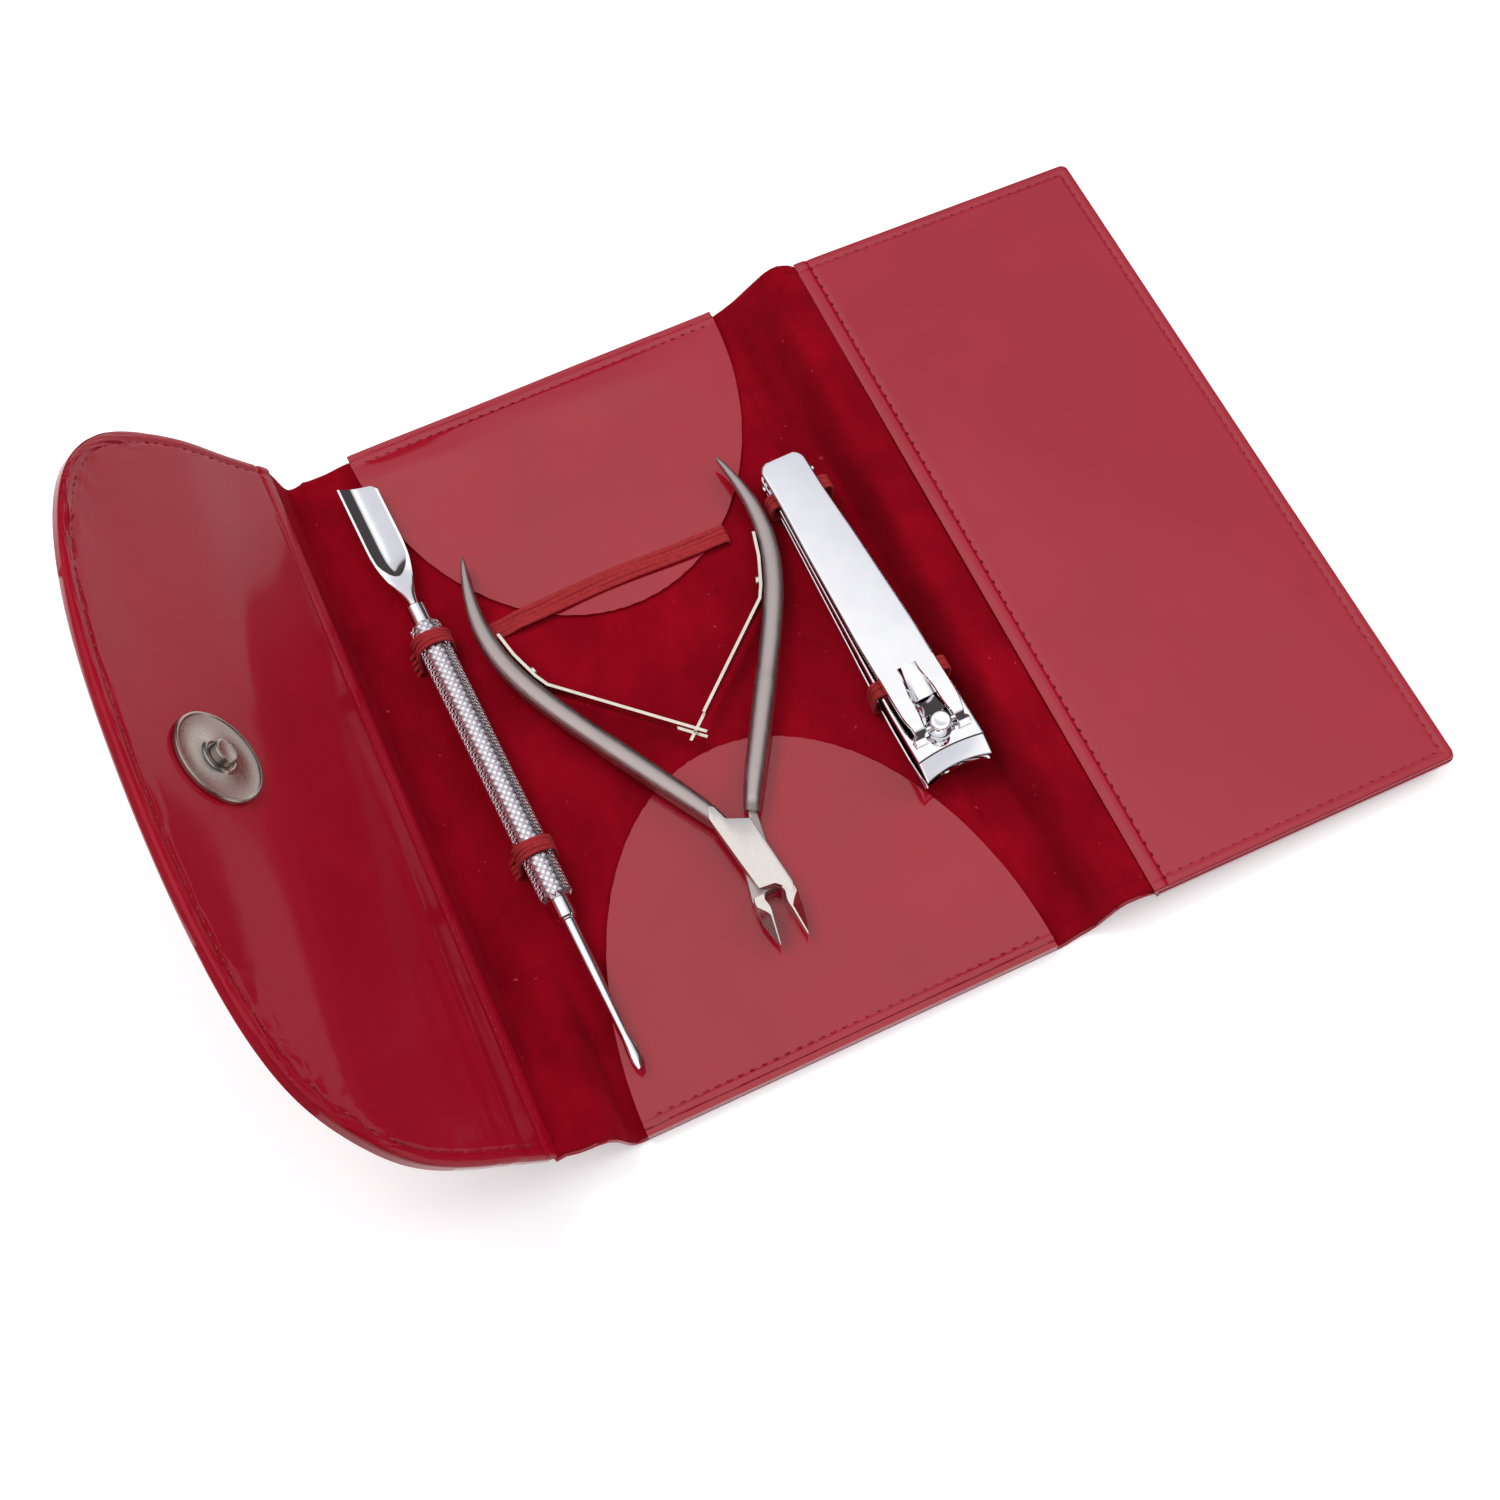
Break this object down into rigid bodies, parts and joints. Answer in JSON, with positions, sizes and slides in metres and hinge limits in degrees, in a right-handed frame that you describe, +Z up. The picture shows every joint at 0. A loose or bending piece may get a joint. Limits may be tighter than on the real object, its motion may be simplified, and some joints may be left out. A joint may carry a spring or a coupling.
{
  "type": "manicure set case",
  "caption": "Three-fold patent leather case standing open, with a magnetic snap flap, elastic loops, a cuticle pusher, a cuticle nipper and a nail clipper.",
  "frame": {"origin": "centre of the back panel's underside, on the table", "axes": "+Z up, +Y along the fold lines towards the pusher's spoon end, +X from the back panel towards the front panel"},
  "size_m": [0.2214, 0.155, 0.0685],
  "materials": {
    "patent_leather": "high-gloss patent",
    "velvet": "brushed nap",
    "elastic": "ribbed woven",
    "board": "plain, hidden",
    "nickel": "bright nickel plate",
    "magnet": "dark, hidden",
    "satin_steel": "satin brushed",
    "spring_steel": "bright spring strip",
    "chrome": "polished"
  },
  "bodies": {
    "back": {"back_outer": "patent_leather", "back_board": "board", "back_lining": "velvet", "upper_pocket": "patent_leather", "lower_pocket": "patent_leather", "pusher_loop_upper": "elastic", "pusher_loop_lower": "elastic", "nipper_band": "elastic", "clipper_loop_upper": "elastic", "clipper_loop_lower": "elastic"},
    "front_gusset_lower": {"front_gusset_lower_outer": "patent_leather", "front_gusset_lower_lining": "velvet"},
    "front_gusset_upper": {"front_gusset_upper_outer": "patent_leather", "front_gusset_upper_lining": "velvet"},
    "front_panel": {"front_outer": "patent_leather", "front_board": "board", "front_lining": "velvet", "front_facing": "patent_leather", "snap_socket": "nickel", "snap_magnet": "magnet", "socket_washer": "nickel"},
    "flap_gusset_lower": {"flap_gusset_lower_outer": "patent_leather", "flap_gusset_lower_lining": "velvet"},
    "flap_gusset_upper": {"flap_gusset_upper_outer": "patent_leather", "flap_gusset_upper_lining": "velvet"},
    "flap": {"flap_outer": "patent_leather", "flap_board": "board", "flap_facing": "patent_leather", "snap_disc": "nickel", "disc_washer": "nickel"},
    "pusher": {"pusher_handle": "chrome", "pusher_spoon": "chrome", "pusher_pick": "chrome"},
    "nipper": {"nipper_left_half": "satin_steel", "nipper_pivot": "satin_steel", "nipper_spring_left": "spring_steel", "spring_screw_left": "satin_steel"},
    "nipper_moving_half": {"nipper_right_half": "satin_steel", "nipper_spring_right": "spring_steel", "spring_screw_right": "satin_steel"},
    "clipper": {"clipper_lower_arm": "chrome", "clipper_tail_pin": "chrome"},
    "clipper_upper": {"clipper_upper_arm": "chrome"},
    "clipper_turning_pin": {"clipper_pin": "chrome"},
    "clipper_lever": {"clipper_lever": "chrome"}
  },
  "joints": [
    {"name": "front_fold_lower", "type": "hinge", "parent": "back", "child": "front_gusset_lower", "pos_m": [0.048, 0, 0.0015], "axis": [0, -1, 0], "range_deg": [0, 23.69]},
    {"name": "front_fold_crest", "type": "hinge", "parent": "front_gusset_lower", "child": "front_gusset_upper", "pos_m": [0.05278, 0, 0.00869], "axis": [0, -1, 0], "range_deg": [0, 79.64]},
    {"name": "front_panel_fold", "type": "hinge", "parent": "front_gusset_upper", "child": "front_panel", "pos_m": [0.0614, 0, 0.0082], "axis": [0, -1, 0], "range_deg": [0, 82.73]},
    {"name": "flap_fold_lower", "type": "hinge", "parent": "back", "child": "flap_gusset_lower", "pos_m": [-0.0482, 0, 0.0015], "axis": [0, 1, 0], "range_deg": [0, 90.05]},
    {"name": "flap_fold_middle", "type": "hinge", "parent": "flap_gusset_lower", "child": "flap_gusset_upper", "pos_m": [-0.0552, 0, 0.0015], "axis": [0, 1, 0], "range_deg": [-81.75, 0]},
    {"name": "flap_fold", "type": "hinge", "parent": "flap_gusset_upper", "child": "flap", "pos_m": [-0.0568, 0, 0.01248], "axis": [0, 1, 0], "range_deg": [0, 110.67]},
    {"name": "pusher_slide", "type": "slide", "parent": "back", "child": "pusher", "axis": [0.0333, -0.9994, 0], "range_m": [-0.1, 0]},
    {"name": "nipper_lift", "type": "slide", "parent": "back", "child": "nipper", "axis": [0, 0, -1], "range_m": [-0.06, 0]},
    {"name": "nipper_squeeze", "type": "hinge", "parent": "nipper", "child": "nipper_moving_half", "pos_m": [-0.0022, -0.0395, 0.0063], "axis": [0, 0, 1], "range_deg": [0, 17], "stiffness_Nm_per_rad": 1.5, "springref_deg": -2.86, "deforming": ["nipper_spring_left", "nipper_spring_right"]},
    {"name": "clipper_slide", "type": "slide", "parent": "back", "child": "clipper", "axis": [-0.0281, 0.9978, -0.0593], "range_m": [-0.085, 0]},
    {"name": "clipper_squeeze", "type": "hinge", "parent": "clipper", "child": "clipper_upper", "pos_m": [0.03757, 0.0318, 0.00545], "axis": [0.9996, 0.0282, 0], "range_deg": [0, 1.6], "stiffness_Nm_per_rad": 30, "springref_deg": -0.57},
    {"name": "clipper_pin_turn", "type": "hinge", "parent": "clipper", "child": "clipper_turning_pin", "pos_m": [0.03937, -0.03207, 0.00365], "axis": [0, 0, -1], "range_deg": [-180, 0]},
    {"name": "clipper_lever_lift", "type": "hinge", "parent": "clipper_turning_pin", "child": "clipper_lever", "pos_m": [0.03937, -0.03207, 0.01312], "axis": [-0.9996, -0.0282, 0], "range_deg": [-150, 0]}
  ],
  "couplings": [
    {"joint": "front_fold_lower", "follows": "front_panel_fold", "ratio": 0.28572},
    {"joint": "front_fold_crest", "follows": "front_panel_fold", "ratio": 0.96205},
    {"joint": "flap_fold_lower", "follows": "flap_fold", "ratio": 0.8132},
    {"joint": "flap_fold_middle", "follows": "flap_fold", "ratio": -0.73821}
  ]
}
